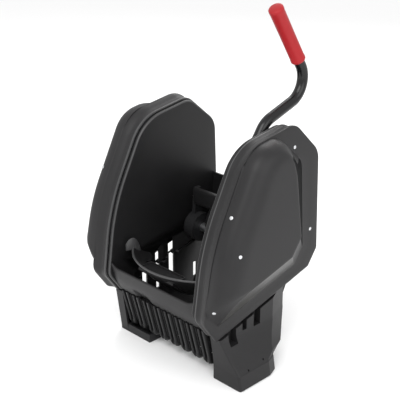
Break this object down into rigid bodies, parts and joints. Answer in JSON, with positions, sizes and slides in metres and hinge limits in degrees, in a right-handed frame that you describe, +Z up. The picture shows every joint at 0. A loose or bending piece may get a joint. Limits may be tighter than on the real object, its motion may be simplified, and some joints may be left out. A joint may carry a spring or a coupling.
{
  "type": "mop wringer",
  "caption": "Down-press mop wringer with two side housings over a slotted basket, a pull lever and a plate that swings down over a front bowl.",
  "frame": {"origin": "on the floor, under the middle of the whole width and depth", "axes": "+X to the lever's side, -Y to the front with the tines, +Z up"},
  "size_m": [0.418, 0.3409, 0.7023],
  "materials": {
    "charcoal_plastic": "fine moulded grain",
    "dark_plastic": "moulded",
    "zinc_steel": "zinc plated",
    "bearing_plastic": "smooth",
    "black_tube": "gloss powder coat",
    "red_grip": "soft vinyl",
    "black_rubber": "matt"
  },
  "bodies": {
    "housing": {"left_panel": "charcoal_plastic", "right_panel": "charcoal_plastic", "left_cover": "charcoal_plastic", "right_cover": "charcoal_plastic", "left_cover_screws": "zinc_steel", "right_cover_screws": "zinc_steel", "back_wall": "dark_plastic", "front_apron": "charcoal_plastic", "front_grate": "dark_plastic", "left_side_wall": "charcoal_plastic", "left_foot": "dark_plastic", "right_leg": "charcoal_plastic", "rear_feet": "dark_plastic", "front_bowl": "dark_plastic", "bowl_pad": "dark_plastic", "tie_bar": "dark_plastic", "left_shaft_bushing": "bearing_plastic", "right_shaft_bushing": "bearing_plastic", "lever_bushing": "bearing_plastic", "return_spring": "zinc_steel", "spring_pin": "zinc_steel", "stop_bumper": "black_rubber"},
    "press": {"press_shaft": "zinc_steel", "left_press_arm": "dark_plastic", "right_press_arm": "dark_plastic", "press_plate": "dark_plastic", "plate_screws": "zinc_steel", "press_crank": "zinc_steel", "press_link_pin": "zinc_steel", "spring_collar": "zinc_steel"},
    "lever": {"lever_shaft": "zinc_steel", "lever_crank": "zinc_steel", "lever_link_pin": "zinc_steel", "lever_hub": "dark_plastic", "lever_tube": "black_tube", "lever_grip": "red_grip", "clamp_bolt": "zinc_steel"},
    "link": {"link_rod": "zinc_steel"}
  },
  "joints": [
    {"name": "press_pivot", "type": "hinge", "parent": "housing", "child": "press", "pos_m": [0, 0.0714, 0.195], "axis": [1, 0, 0], "range_deg": [0, 80], "stiffness_Nm_per_rad": 1.2, "springref_deg": -22.92},
    {"name": "lever_pivot", "type": "hinge", "parent": "housing", "child": "lever", "pos_m": [0.12, -0.0086, 0.397], "axis": [1, 0, 0], "range_deg": [0, 80]},
    {"name": "link_swing", "type": "hinge", "parent": "lever", "child": "link", "pos_m": [0.15, 0.02685, 0.40325], "axis": [1, 0, 0], "range_deg": [-80, 0]}
  ],
  "couplings": [
    {"joint": "lever_pivot", "follows": "press_pivot", "ratio": 1},
    {"joint": "link_swing", "follows": "press_pivot", "ratio": -1}
  ]
}
